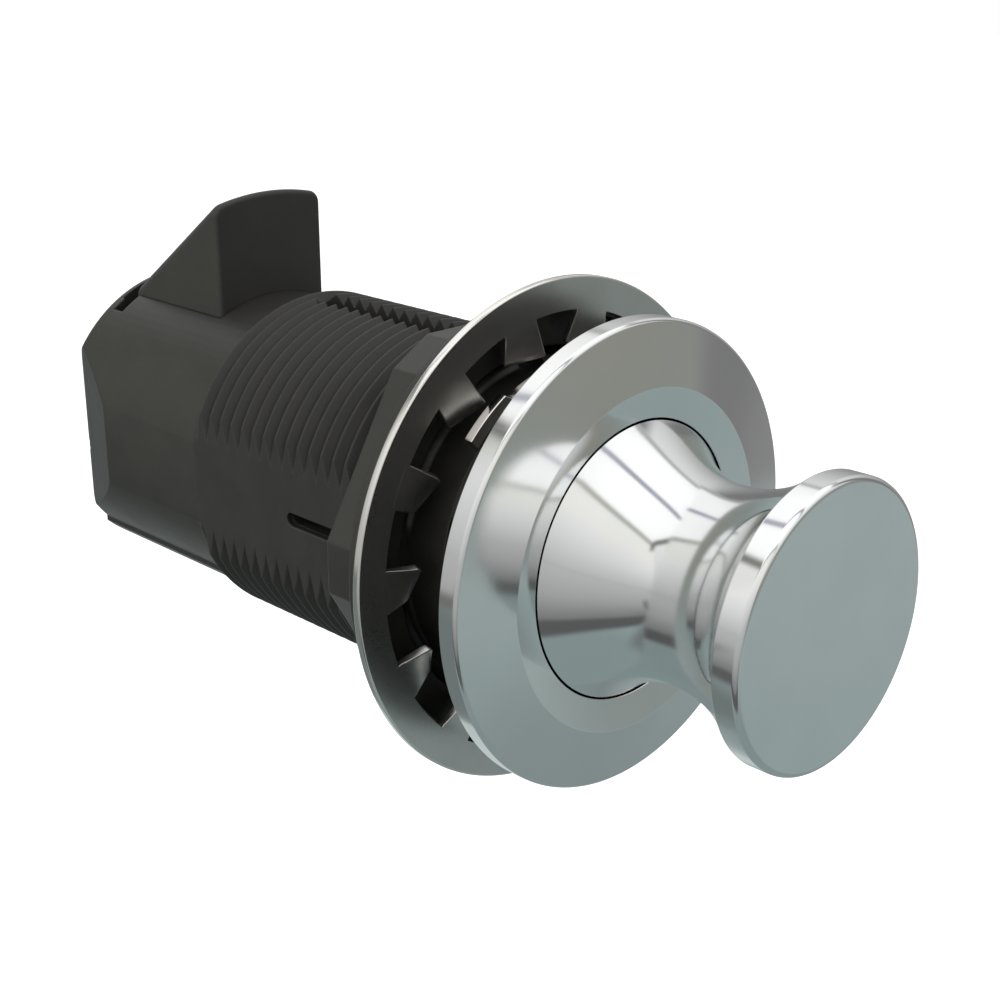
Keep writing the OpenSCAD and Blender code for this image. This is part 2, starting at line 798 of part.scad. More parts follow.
module clamp_nut() {
    corner_r = nut_flat / cos(30 - corner_deg);
    nut_end = nut_y + nut_l;
    color(plastic) difference() {
        union() {
            rod(flange_r, nut_y, nut_y + flange_t);
            along(nut_y + 1, nut_end) polygon([
                for (i = [0 : 5], s = [-1, 1])
                    let (a = 60 * i + s * corner_deg) [corner_r * cos(a), corner_r * sin(a)]
            ]);
        }
        rod(thread_r + thread_gap, nut_y - 1, nut_end + 1);
        rod(nut_recess_r, nut_y - 1, nut_y + nut_recess);
    }
}

housing();
rear_cover();
cover_screws();
spring_cover();
escutcheon();
guide_bush();
retaining_clip();
knob();
knob_screw();
pull_stem();
spring_seat();
cam_yoke();
yoke_pin();
knob_spring();
bolt();
cam_pin();
bolt_spring(-1);  // bolt_spring_left
bolt_spring(1);  // bolt_spring_right
star_washer();
clamp_nut();
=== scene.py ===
import json
import math

import bmesh
import bpy
import numpy as np
from mathutils import Matrix, Vector

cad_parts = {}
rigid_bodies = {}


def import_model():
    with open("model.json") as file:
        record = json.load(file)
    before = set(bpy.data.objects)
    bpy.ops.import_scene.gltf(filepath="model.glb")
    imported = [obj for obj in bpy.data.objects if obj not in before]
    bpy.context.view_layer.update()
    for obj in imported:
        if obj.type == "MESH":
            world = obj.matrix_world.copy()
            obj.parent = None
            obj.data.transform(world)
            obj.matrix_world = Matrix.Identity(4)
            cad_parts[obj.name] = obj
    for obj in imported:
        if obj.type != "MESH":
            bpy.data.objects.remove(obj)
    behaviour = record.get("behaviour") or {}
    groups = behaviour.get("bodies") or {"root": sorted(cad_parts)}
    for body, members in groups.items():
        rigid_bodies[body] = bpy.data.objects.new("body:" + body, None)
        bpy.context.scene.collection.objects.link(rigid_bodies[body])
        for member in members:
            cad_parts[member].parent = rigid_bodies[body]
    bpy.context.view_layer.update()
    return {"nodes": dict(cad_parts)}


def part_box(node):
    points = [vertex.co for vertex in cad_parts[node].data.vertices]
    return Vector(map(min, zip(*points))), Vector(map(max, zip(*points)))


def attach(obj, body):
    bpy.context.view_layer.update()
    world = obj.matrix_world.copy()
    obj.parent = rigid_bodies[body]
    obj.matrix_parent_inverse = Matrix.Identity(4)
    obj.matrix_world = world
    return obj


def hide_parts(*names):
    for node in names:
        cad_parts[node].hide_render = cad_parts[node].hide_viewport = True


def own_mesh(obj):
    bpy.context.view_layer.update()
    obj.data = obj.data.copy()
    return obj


for leftover in list(bpy.data.objects):
    bpy.data.objects.remove(leftover)

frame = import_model()
NODES = frame["nodes"]
MM = 0.001

# Sizes in millimetres: the part's source, or the photograph where it was measured more closely
HOLE_Y, RIDGE_Y, DISC_BACK, KNOB_FRONT = -2.35, -2.95, -18.55, -20.75
RIDGE_R, RIM_R, RIM_Y = 13.9, 19.0, -1.77
KNOB_R, WAIST_R, NARROW_Y = 11.2, 8.0, -10.05
SKIRT_END, SKIRT_WALL, SKIRT_DEPTH = 10.55, 1.75, 4.5
SEAT_R, STEM_BORE_R, STEM_BORE_Y, SCREW_R, SCREW_Y = 6.2, 5.05, 6.0, 2.05, -8.0
HOLE_R, HUB_R, HUB_END, COLLAR_R, COLLAR_Y = 11.37, 12.55, 3.0, 15.2, -0.4
PITCH, CREST_R, ROOT_R, FLAT_X = 1.5, 15.0, 14.05, 13.5
NECK_R, BLOCK_R, THREAD_FRONT, THREAD_BACK = 13.6, 14.0, 9.1, 37.3
GROOVE_Y, CREST_W, FADE_IN, FADE_OUT = 1.107, 0.135, 0.95, 0.8
SLEEVE_R, CORE_R = 12.0, 12.85
KEY_HALF, KEY_FLOOR, KEY_END = 1.4, 12.9, 35.4
SLIT_HALF, SLIT_X, SLIT_START, SLIT_END = 0.6, 11.1, 10.6, 24.4
WASHER_R, WASHER_IN_R, WASHER_Y, WASHER_T = 21.0, 18.3, 6.4, 0.7
# The teeth's faces stand this far over the ring's, so that they never share a plane
PROUD = 0.003
TEETH, TOOTH_TIP, TOOTH_W, TOOTH_TAPER, TOOTH_TWIST = 14, 15.4, 3.6, 0.84, 29.0
NUT_Y, NUT_L, NUT_FLAT, CORNER_DEG = 7.15, 6.65, 16.6, 6.75
FLANGE_R, FLANGE_T, NUT_BORE, RECESS_R, RECESS = 19.6, 2.15, 15.08, 18.0, 1.35
CLIP_IN, CLIP_R, CLIP_GAP_DEG, CLIP_EDGE = 12.85, 15.65, 43.5, 0.1
EAR_DEG, CLIP_THIN = 17.0, 0.75
BOLT_HALF, BOLT_FRONT, BOLT_BACK, BOLT_TOP, BOLT_FOOT = 6.0, 42.7, 56.2, 23.4, -2.2
BOLT_CROWN, RAMP_DEG, BOLT_EDGE, SHOULDER = 0.6, 35.8, 0.45, 1.2
LUG_HALF, LUG_LOW, LUG_HIGH, PIN_Y, PIN_Z, PIN_R = 6.9, -1.4, 1.8, 45.2, 4.5, 1.21
SLOT_HALF, SLOT_FRONT, SLOT_TOP, SLOT_SLANT, FRONT_WALL = 1.8, 12.7, 17.6, 47.7, 1.2
BOLT_BORE_X, BOLT_BORE_Y, BOLT_BORE_R, BOLT_BORE_TOP = 3.95, 50.6, 1.62, 9.0
KNOB_SPRING_R, KNOB_WIRE, KNOB_SPRING_L, KNOB_SPRING_Y = 7.0, 0.5, 15.3, 17.2
BOLT_SPRING_R, BOLT_WIRE, BOLT_SPRING_L, BOLT_SPRING_Z = 1.2, 0.22, 21.25, -12.25


# Surfaces


def fillets(corners, radii, steps=6):
    """Chain of (radius, y) points with round corners: a corner with radius r is replaced by the arc that
    touches both of its sides, so the arc starts r / tan(half the corner's angle) before the corner."""
    p, r = np.asarray(corners, float), np.asarray(radii, float)[:, None]
    back, ahead = np.roll(p, 1, 0) - p, np.roll(p, -1, 0) - p
    back /= np.linalg.norm(back, axis=1, keepdims=True)
    ahead /= np.linalg.norm(ahead, axis=1, keepdims=True)
    half = np.arccos(np.clip((back * ahead).sum(1, keepdims=True), -1, 1)) / 2
    middle = (back + ahead) / np.maximum(np.linalg.norm(back + ahead, axis=1, keepdims=True), 1e-9)
    centre = p + middle * r / np.sin(half)
    first, last = p + back * r / np.tan(half) - centre, p + ahead * r / np.tan(half) - centre
    turn = np.maximum(np.pi - 2 * half, 1e-6)[:, None]
    s = np.linspace(0, 1, steps + 1)[None, :, None]
    arc = (np.sin((1 - s) * turn) * first[:, None] + np.sin(s * turn) * last[:, None]) / np.sin(turn)
    chain = (centre[:, None] + arc).reshape(-1, 2)
    step = np.linalg.norm(chain - np.roll(chain, 1, 0), axis=1)
    return chain[step > 1e-5]


def arc_between(centre, radius, start, stop, steps):
    """Points (radius, y) of a circle round centre from one angle to another, in degrees."""
    a = np.radians(np.linspace(start, stop, steps))
    return np.stack([centre[0] + radius * np.cos(a), centre[1] + radius * np.sin(a)], 1)


def revolved(chain, steps=224):
    """Surface of revolution round the Y axis: point (r, y) at angle a is (r sin a, y, r cos a)."""
    a = np.linspace(0, 2 * np.pi, steps, endpoint=False)[None, :]
    r, y = chain[:, :1], chain[:, 1:]
    return np.stack([r * np.sin(a), y + 0 * a, r * np.cos(a)], 2)


def lattice(grid, loop_rows):
    """Vertices and four-sided faces of a grid of points whose columns close on themselves."""
    rows, columns = grid.shape[:2]
    index = np.arange(rows * columns).reshape(rows, columns)
    lower = index if loop_rows else index[:-1]
    upper = np.roll(index, -1, 0) if loop_rows else index[1:]
    faces = np.stack([lower, np.roll(lower, -1, 1), np.roll(upper, -1, 1), upper], 2).reshape(-1, 4)
    return grid.reshape(-1, 3), faces


def as_mesh(name, shells, weld=1e-7):
    """Mesh of several closed shells given in millimetres: coincident points are welded, so poles and seams
    close, and every shell's normals are turned outwards."""
    offsets = np.cumsum([0] + [len(v) for v, _ in shells])
    vertices = np.concatenate([v for v, _ in shells]) * MM
    faces = np.concatenate([f + n for (_, f), n in zip(shells, offsets)])
    mesh = bpy.data.meshes.new(name)
    mesh.from_pydata(vertices.tolist(), [], faces.tolist())
    body = bmesh.new()
    body.from_mesh(mesh)
    bmesh.ops.remove_doubles(body, verts=body.verts, dist=weld)
    bmesh.ops.dissolve_degenerate(body, dist=weld, edges=body.edges)
    bmesh.ops.recalc_face_normals(body, faces=body.faces)
    body.to_mesh(mesh)
    body.free()
    return mesh


def as_piece(name, mesh, finish, body, replaced, sharp=28, weighted=True):
    """Object at the origin with one finish, smooth but for edges sharper than an angle in degrees."""
    piece = bpy.data.objects.new(name, mesh)
    bpy.context.scene.collection.objects.link(piece)
    mesh.shade_smooth()
    mesh.set_sharp_from_angle(angle=math.radians(sharp))
    mesh.materials.clear()
    mesh.materials.append(finish)
    if weighted:
        flat = piece.modifiers.new("flat_faces", "WEIGHTED_NORMAL")
        flat.keep_sharp = True
    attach(piece, body)
    if replaced:
        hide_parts(replaced)
    return piece


# Shader bench


class Value:
    """A socket that takes part in sums: each operator adds the Math node that works it out."""

    def __init__(self, bench, socket):
        self.bench, self.socket = bench, socket

    def __add__(self, other):
        return self.bench.maths("ADD", self, other)

    def __sub__(self, other):
        return self.bench.maths("SUBTRACT", self, other)

    def __rsub__(self, other):
        return self.bench.maths("SUBTRACT", other, self)

    def __mul__(self, other):
        return self.bench.maths("MULTIPLY", self, other)

    def __truediv__(self, other):
        return self.bench.maths("DIVIDE", self, other)

    def __abs__(self):
        return self.bench.maths("ABSOLUTE", self)

    __radd__ = __add__
    __rmul__ = __mul__


class Bench:
    """Makes the nodes of one material or world."""

    def __init__(self, tree):
        self.tree = tree
        tree.nodes.clear()

    def node(self, kind, settings=None, inputs=None, output=0):
        made = self.tree.nodes.new(kind)
        for name, value in (settings or {}).items():
            if name == "stops":
                self.lay_stops(made.color_ramp, value)
            else:
                setattr(made, name, value)
        for key, value in (inputs or {}).items():
            if isinstance(value, Value):
                self.tree.links.new(value.socket, made.inputs[key])
            else:
                made.inputs[key].default_value = value
        return Value(self, made.outputs[output]) if len(made.outputs) else made

    @staticmethod
    def lay_stops(ramp, stops):
        while len(ramp.elements) < len(stops):
            ramp.elements.new(0.5)
        for element, (place, colour) in zip(ramp.elements, stops):
            element.position = place
            element.color = (*colour, 1)

    def maths(self, operation, *values):
        return self.node("ShaderNodeMath", {"operation": operation}, dict(enumerate(values)))

    def step(self, value, low, high):
        """0 below low, 1 above high and an S curve between them; low may be the larger one."""
        inputs = {"Value": value, "From Min": low, "From Max": high}
        return self.node("ShaderNodeMapRange", {"interpolation_type": "SMOOTHSTEP"}, inputs)

    def mixed(self, share, first, second):
        """Colour that goes from the first to the second as the share goes from 0 to 1."""
        settings = {"data_type": "RGBA"}
        first = (*first, 1) if isinstance(first, tuple) else first
        second = (*second, 1) if isinstance(second, tuple) else second
        return self.node("ShaderNodeMix", settings, {0: share, 6: first, 7: second}, output=2)

    def noise(self, size, detail=2.0, vector=None, roughness=0.5):
        """Noise whose grains are about size millimetres wide."""
        inputs = {"Vector": vector or self.place(), "Scale": 1 / (size * MM), "Detail": detail}
        inputs["Roughness"] = roughness
        return self.node("ShaderNodeTexNoise", None, inputs)

    def place(self):
        return self.node("ShaderNodeTexCoord", output="Object")

    def stretched(self, scale, turn=(0.0, 0.0, 0.0)):
        """Object coordinates with each axis scaled, so that a noise becomes streaks."""
        inputs = {"Vector": self.place(), "Scale": scale, "Rotation": turn}
        return self.node("ShaderNodeMapping", None, inputs)

    def coordinate(self, axis):
        return self.node("ShaderNodeSeparateXYZ", None, {0: self.place()}, output=axis)

    def from_axis(self):
        """Distance from the latch's axis in millimetres."""
        x, z = self.coordinate(0), self.coordinate(2)
        return self.maths("SQRT", x * x + z * z) / MM

    def eased(self, width):
        """Normal that runs round edges over a width in millimetres."""
        return self.node("ShaderNodeBevel", {"samples": 6}, {"Radius": width * MM})

    def edges(self, width):
        """0 on faces, rising towards 1 on the edges between them."""
        shading = self.node("ShaderNodeNewGeometry", output="Normal")
        vectors = {0: self.eased(width), 1: shading}
        same = self.node("ShaderNodeVectorMath", {"operation": "DOT_PRODUCT"}, vectors, output=1)
        return self.step(1 - same, 0.0, 0.25)

    def relief(self, height, depth, strength=1.0, normal=None):
        """Normal of a surface with a relief whose depth is in millimetres."""
        inputs = {"Height": height, "Distance": depth * MM, "Strength": strength}
        if normal:
            inputs["Normal"] = normal
        return self.node("ShaderNodeBump", None, inputs)


def finish(name, build):
    """Material whose Principled shader takes the sockets that build(bench) gives."""
    material = bpy.data.materials.new(name)
    material.use_nodes = True
    bench = Bench(material.node_tree)
    surface = bench.node("ShaderNodeBsdfPrincipled", None, build(bench))
    bench.node("ShaderNodeOutputMaterial", None, {"Surface": surface})
    return material


def moulded_black(dark, light, gloss, grain=0.12, depth=0.006, edge=0.25):
    """Black glass-filled nylon: slow mottling from the flow in the mould, fine grain, and edges that are
    rubbed a little smoother and carry a painted highlight, a lighter colour where light catches them."""

    def build(b):
        flow, grainy, rub_and_highlight_edge = b.noise(3.5, 4.0), b.noise(grain, 2.0), b.edges(edge)
        speckle = b.step(b.noise(0.35, 1.0), 0.62, 0.8)
        colour = b.mixed(b.step(flow, 0.3, 0.75), dark, light)
        # Painted highlight: the edges are painted lighter in colour, as if lit; the speckle is the fibre's
        # own tone
        colour = b.mixed(rub_and_highlight_edge * 0.45 + speckle * 0.12, colour, tuple(2.2 * c for c in light))
        normal = b.relief(grainy, depth, 0.5, b.relief(flow, 0.02, 0.25, b.eased(edge)))
        rough = gloss + (flow - 0.5) * 0.12 + (grainy - 0.5) * 0.1 - rub_and_highlight_edge * 0.06
        return {"Base Color": colour, "Roughness": rough, "Normal": normal}

    return build


def bright_plate(tone, gloss, peel=0.0002, dull_and_shaded_behind=False):
    """Polished chrome plate: a faint waviness of the polish, hairlines from handling and a light haze.
    Behind the panel's face the plate may be thin and dull, and it is painted dark there as the shade
    between the escutcheon and the washer."""

    def build(b):
        haze, wave = b.noise(7.0, 3.0), b.noise(1.1, 1.0)
        hair = b.noise(1.0, 1.0, b.stretched((0.12, 2.6, 0.12), (0.3, 0.2, 0.5)))
        mark = b.noise(1.0, 1.0, b.stretched((2.8, 0.1, 0.14), (0.1, 0.6, 0.35)))
        scratch = b.step(hair, 0.66, 0.74) + b.step(mark, 0.68, 0.76)
        colour = b.mixed(b.step(haze, 0.35, 0.75), tone, tuple(0.965 * c for c in tone))
        rough = gloss + (haze - 0.5) * 0.05 + scratch * 0.02
        normal = b.relief(wave, peel, 0.35, b.relief(scratch, 0.0002, 0.15))
        if dull_and_shaded_behind:
            # Painted shade: the plate behind the panel's face is painted dark, as the shade between the
            # escutcheon and the washer; it is also made duller
            painted_shade_behind = b.step(b.coordinate(1) / MM, -0.14, -0.04)
            colour, rough = b.mixed(painted_shade_behind, colour, (0.16, 0.16, 0.155)), rough + painted_shade_behind * 0.3
        return {"Base Color": colour, "Metallic": 1.0, "Roughness": rough, "Normal": normal}

    return build


def satin_steel(tone, gloss, polished_highlight_from=None):
    """Blanked and tumbled steel: fine grain and, past a radius, a rim with a finer polish whose colour is
    painted lighter as a highlight.
    """

    def build(b):
        grain, cloud = b.noise(0.16, 3.0), b.noise(5.0, 3.0)
        colour = b.mixed(b.step(cloud, 0.3, 0.8), tone, tuple(0.9 * c for c in tone))
        rough = gloss + (grain - 0.5) * 0.1 + (cloud - 0.5) * 0.08
        if polished_highlight_from:
            polish_and_highlight = b.step(b.from_axis(), polished_highlight_from, polished_highlight_from + 0.08)
            rough = rough - polish_and_highlight * (gloss - 0.16)
            # Painted highlight: past the radius the colour is painted a light warm white, as the bright
            # band of light on the rim; the lower roughness is the finer polish
            colour = b.mixed(polish_and_highlight, colour, (0.92, 0.9, 0.86))
        normal = b.relief(grain, 0.001, 0.2)
        return {"Base Color": colour, "Metallic": 1.0, "Roughness": rough, "Normal": normal}

    return build


def drawn_wire(b):
    """Spring wire with the fine lines of the drawing die and a film of oil."""
    cloud, line = b.noise(1.2, 3.0), b.noise(0.06, 2.0)
    colour = b.mixed(cloud, (0.44, 0.43, 0.41), (0.62, 0.6, 0.57))
    rough = 0.26 + (line - 0.5) * 0.16
    return {"Base Color": colour, "Metallic": 1.0, "Roughness": rough, "Normal": b.relief(line, 0.002, 0.4)}


def natural_acetal(b):
    """Off-white acetal with a waxy surface."""
    cloud, grain = b.noise(2.5, 3.0), b.noise(0.1, 2.0)
    colour = b.mixed(cloud, (0.70, 0.68, 0.60), (0.78, 0.76, 0.70))
    rough = 0.38 + (grain - 0.5) * 0.1
    return {"Base Color": colour, "Roughness": rough, "Normal": b.relief(grain, 0.003, 0.4)}


BARREL = finish("black_moulded_nylon", moulded_black((0.027, 0.0265, 0.0235), (0.032, 0.031, 0.0275), 0.42))
# The bolt's nylon is a lighter copy of the barrel's: its colour is painted lighter, as the light that falls
# on the bolt's sides
BOLT_NYLON_PAINTED_LIGHTER = finish("bolt_nylon_painted_lighter", moulded_black((0.033, 0.0325, 0.029), (0.038, 0.037, 0.033), 0.46, 0.1))
NUT = finish("nut_black_nylon", moulded_black((0.028, 0.0275, 0.0245), (0.032, 0.031, 0.0275), 0.4, 0.14))
STEM = finish("stem_black_nylon", moulded_black((0.015, 0.015, 0.015), (0.022, 0.022, 0.021), 0.42))
KNOB_CHROME = finish("knob_bright_chrome", bright_plate((0.90, 0.912, 0.91), 0.1))
TRIM_CHROME = finish("escutcheon_bright_chrome", bright_plate((0.895, 0.905, 0.90), 0.11, dull_and_shaded_behind=True))
WASHER = finish("washer_satin_steel", satin_steel((0.66, 0.65, 0.63), 0.3, 20.8))
CLIP = finish("clip_ground_steel", satin_steel((0.74, 0.725, 0.7), 0.24, CLIP_R - 0.09))
CAM = finish("cam_tumbled_steel", satin_steel((0.5, 0.49, 0.48), 0.34))
DARK = finish("blackened_steel", satin_steel((0.16, 0.158, 0.155), 0.36))
WIRE = finish("spring_wire", drawn_wire)
ACETAL = finish("natural_acetal", natural_acetal)


# Turned pieces


def knob_chain():
    """Outline of the knob: flat grip disc, a waist of two arcs that meet at its narrowest place, the skirt
    with its hollow, the stem's seat and the screw's bore. An arc of height d over a run l has the radius
    (d^2 + l^2) / 2d."""
    dip, ahead, behind = KNOB_R - WAIST_R, NARROW_Y - DISC_BACK, HOLE_Y - NARROW_Y
    front_r, rear_r = (dip**2 + ahead**2) / (2 * dip), (dip**2 + behind**2) / (2 * dip)
    front_a, rear_a = math.degrees(math.asin(ahead / front_r)), math.degrees(math.asin(behind / rear_r))
    front = arc_between((WAIST_R + front_r, NARROW_Y), front_r, 180 + front_a, 180, 48)[1:]
    rear = arc_between((WAIST_R + rear_r, NARROW_Y), rear_r, 180, 180 - rear_a, 40)[1:]
    head = [[0, KNOB_FRONT], [KNOB_R, KNOB_FRONT], [KNOB_R, DISC_BACK]]
    tail = [
        [KNOB_R, SKIRT_END], [KNOB_R - SKIRT_WALL, SKIRT_END],
        [KNOB_R - SKIRT_WALL, SKIRT_END - SKIRT_DEPTH], [SEAT_R, SKIRT_END - SKIRT_DEPTH],
        [SEAT_R, SKIRT_END], [STEM_BORE_R, SKIRT_END], [STEM_BORE_R, STEM_BORE_Y],
        [SCREW_R, STEM_BORE_Y], [SCREW_R, SCREW_Y], [0, SCREW_Y],
    ]
    corners = np.concatenate([head, front, rear, tail])
    radii = np.zeros(len(corners))
    radii[1], radii[2] = 0.5, 0.22
    radii[-len(tail)] = 0.25
    return fillets(corners, radii, 7)


def escutcheon_chain():
    """Outline of the escutcheon: dish, ridge, cone, rim, seat on the panel, the collar's recess and hub."""
    corners = [
        [HOLE_R, HOLE_Y], [RIDGE_R, RIDGE_Y], [RIM_R, RIM_Y], [RIM_R, 0.0],
        [COLLAR_R, 0.0], [COLLAR_R, COLLAR_Y], [HUB_R, COLLAR_Y], [HUB_R, HUB_END], [HOLE_R, HUB_END],
    ]
    return fillets(corners, [0.1, 0.14, 0.4, 0.12, 0.08, 0, 0, 0.2, 0], 7)


def washer_shells():
    """Ring with eased edges and its teeth. A tooth is a rounded bar from the ring towards the axis: at
    share s of its length its half width is w (1 - s (1 - taper)) and its face leans by the twist times
    (s - 0.2) / 0.8, so a point (u, v) of its section is at (r, middle + u tan(lean) + v, u - v sin(lean)).
    """
    half = WASHER_T / 2
    front, rear = WASHER_Y + PROUD, WASHER_Y + WASHER_T - PROUD
    ring = fillets(
        [[WASHER_IN_R, front], [WASHER_R, front], [WASHER_R, rear], [WASHER_IN_R, rear]],
        [0.04, 0.16, 0.16, 0.04], 5)
    shells = [lattice(revolved(ring, 288), True)]
    s = np.array([0, 0, 0.1, 0.2, 0.3, 0.4, 0.5, 0.6, 0.7, 0.8, 0.9, 0.96, 1, 1, 1])
    shrink = np.array([0, 1, 1, 1, 1, 1, 1, 1, 1, 1, 1, 1, 0.97, 0.8, 0])
    root = WASHER_IN_R + 0.3
    r = root - s * (root - TOOTH_TIP)
    r[-3] += 0.03
    wide = TOOTH_W / 2 * (1 - s * (1 - TOOTH_TAPER))
    lean = np.radians(TOOTH_TWIST) * np.maximum(0, s - 0.2) / 0.8
    soft = 0.1
    rounded = [
        fillets([[-w, -half], [w, -half], [w, half], [-w, half]], [soft] * 4, 4) for w in wide
    ]
    section = np.stack(rounded) * shrink[:, None, None]
    u, v = section[..., 0], section[..., 1]
    lean, r = lean[:, None], r[:, None]
    bar = np.stack([r + 0 * u, WASHER_Y + half + u * np.tan(lean) + v, u - v * np.sin(lean)], 2)
    for a in np.pi + 2 * np.pi * np.arange(TEETH) / TEETH:
        c, d = math.cos(a), math.sin(a)
        x, y, z = bar[..., 0], bar[..., 1], bar[..., 2]
        shells.append(lattice(np.stack([x * c + z * d, y, -x * d + z * c], 2), False))
    return shells


def nut_shell():
    """Clamp nut as a stack of rings round its section: a ring is either a circle or the hexagon with cut,
    softened corners moved inwards by a distance along its own normals."""
    corner = NUT_FLAT / math.cos(math.radians(30 - CORNER_DEG))
    a = np.radians((60 * np.arange(6)[:, None] + np.array([-CORNER_DEG, CORNER_DEG])).ravel())
    chain = fillets(np.stack([corner * np.cos(a), corner * np.sin(a)], 1), [0.45] * 12, 4)
    chain = chain.reshape(12, 5, 2)
    gap = np.roll(chain[:, 0], -1, 0) - chain[:, -1]
    t = np.linspace(0, 1, 14)[1:-1]
    between = chain[:, -1][:, None] + gap[:, None] * t[None, :, None]
    outline = np.concatenate([chain, between], 1).reshape(-1, 2)
    along = np.roll(outline, -1, 0) - np.roll(outline, 1, 0)
    along /= np.linalg.norm(along, axis=1, keepdims=True)
    outward = np.stack([along[:, 1], -along[:, 0]], 1)
    angle = np.arctan2(outline[:, 1], outline[:, 0])
    round_ring = np.stack([np.cos(angle), np.sin(angle)], 1)

    def ring(flat, y):
        return np.stack([flat[:, 0], np.full(len(flat), y), flat[:, 1]], 1)

    q = np.radians(np.linspace(0, 90, 6))
    soft, root, back, end = 0.3, 0.25, NUT_Y + FLANGE_T, NUT_Y + NUT_L
    rows = [ring(round_ring * RECESS_R, NUT_Y)]
    rim = FLANGE_R - soft
    for k in q:
        rows.append(ring(round_ring * (rim + soft * math.sin(k)), NUT_Y + soft * (1 - math.cos(k))))
    for k in q:
        rows.append(ring(round_ring * (rim + soft * math.cos(k)), back - soft * (1 - math.sin(k))))
    for k in q:
        rows.append(ring(outline + outward * root * (1 - math.sin(k)), back + root * (1 - math.cos(k))))
    for k in q:
        rows.append(ring(outline - outward * soft * (1 - math.cos(k)), end - soft * (1 - math.sin(k))))
    lead = 0.6
    rows += [ring(round_ring * (NUT_BORE + lead), end), ring(round_ring * NUT_BORE, end - lead)]
    rows += [ring(round_ring * NUT_BORE, NUT_Y + RECESS), ring(round_ring * RECESS_R, NUT_Y + RECESS)]
    return lattice(np.stack(rows), True)


# Threaded barrel


def thread_sleeve():
    """Right-hand thread with two flats. Rows follow the helix: at angle a groove number k lies at
    y = start + pitch (k + a / 360). Across one pitch the radius rises from the root to the crest along
    straight flanks, and a flat at x limits it to x / |sin a|. The rows on a flank slide to the place
    where it meets the flat, so every edge of a spike is an edge of the mesh. Both ends fade out."""
    fine = np.arange(13, 28.01, 0.5)
    plain = np.concatenate([np.arange(0, 13, 1.5), np.arange(29, 90.1, 1.5)])
    quarter = np.unique(np.concatenate([fine, plain, [90.0]]))
    from_x = np.unique(np.concatenate([quarter, 180 - quarter]))
    a = np.unique(np.mod(np.concatenate([90 + from_x, 90 - from_x]), 360))
    a = np.append(a, 360.0)
    sin_a = np.abs(np.sin(np.radians(a)))
    flat_r = FLAT_X / np.maximum(sin_a, 1e-6)
    flank = (PITCH - CREST_W) / 2
    meet = flank * np.clip((flat_r - ROOT_R) / (CREST_R - ROOT_R), 0, 1)
    t = np.stack([0 * meet, meet / 2, meet, (meet + flank) / 2, 0 * meet + flank])
    t = np.concatenate([-t[:0:-1], t, [0 * meet + PITCH / 2]])
    start = GROOVE_Y + PITCH * math.floor((THREAD_FRONT - GROOVE_Y) / PITCH - 2)
    k = np.arange(math.ceil((THREAD_BACK - start) / PITCH) + 3)
    y = start + PITCH * (k[:, None, None] + a[None, None, :] / 360) + t[None]
    slope = np.clip(np.abs(t) / flank, 0, 1)
    top = np.where(np.abs(t) > flank + 1e-9, CREST_R, ROOT_R + (CREST_R - 0.02 - ROOT_R) * slope)
    y = y.reshape(-1, len(a))
    top = np.broadcast_to(top[None], (len(k), *top.shape)).reshape(-1, len(a))
    y = np.clip(y, THREAD_FRONT, THREAD_BACK)
    rise = np.clip((y - THREAD_FRONT) / FADE_IN, 0, 1)
    fall = np.clip((THREAD_BACK - y) / FADE_OUT, 0, 1)
    r = NECK_R + (top - NECK_R) * rise
    r = BLOCK_R + (r - BLOCK_R) * fall
    r = np.minimum(r, flat_r[None])
    inner = np.full((1, len(a)), SLEEVE_R)
    r = np.concatenate([inner, r, inner])
    y = np.concatenate([inner * 0 + THREAD_FRONT, y, inner * 0 + THREAD_BACK])
    rad = np.radians(a)[None]
    grid = np.stack([r * np.sin(rad), y, r * np.cos(rad)], 2)
    vertices, faces = lattice(grid, True)
    columns = len(a)
    seam = (faces[:, 0] % columns) == columns - 1
    return vertices, faces[~seam]


def prism(outline, low, high, axis):
    """Closed prism over an outline of points, between two places along an axis."""
    n = len(outline)
    ends = np.array([[p[0], h, p[1]] for h in (low, high) for p in outline], float)
    ends = ends[:, [0, 2, 1]] if axis == "z" else ends[:, [1, 0, 2]]
    side = np.arange(n)
    faces = [list(map(int, side)), list(map(int, side[::-1] + n))]
    faces += [[int(i), int((i + 1) % n), int((i + 1) % n + n), int(i + n)] for i in side]
    return ends, faces


def cutter(name, outline, low, high, axis):
    """Object with the shape of a prism, for taking it out of another mesh."""
    vertices, faces = prism(outline, low, high, axis)
    mesh = bpy.data.meshes.new(name)
    mesh.from_pydata((vertices * MM).tolist(), [], faces)
    shape = bmesh.new()
    shape.from_mesh(mesh)
    bmesh.ops.recalc_face_normals(shape, faces=shape.faces)
    shape.to_mesh(mesh)
    shape.free()
    made = bpy.data.objects.new(name, mesh)
    bpy.context.scene.collection.objects.link(made)
    return made


def slot_outline(half, start, end):
    """Long slot along Y with a round rear end, as (across, y) points."""
    a = np.radians(np.linspace(0, 180, 17))
    tip = np.stack([half * np.cos(a), end - half + half * np.sin(a)], 1)
    return np.concatenate([[[half, start]], tip, [[-half, start]]])


def cut_from(mesh, cutters):
    """Mesh with several closed shapes taken out of it."""
    holder = bpy.data.objects.new("blank", mesh)
    bpy.context.scene.collection.objects.link(holder)
    for tool in cutters:
        step = holder.modifiers.new(tool.name, "BOOLEAN")
        step.operation, step.solver, step.object = "DIFFERENCE", "EXACT", tool
    graph = bpy.context.evaluated_depsgraph_get()
    result = bpy.data.meshes.new_from_object(holder.evaluated_get(graph))
    for used in [holder, *cutters]:
        bpy.data.objects.remove(used)
    return result


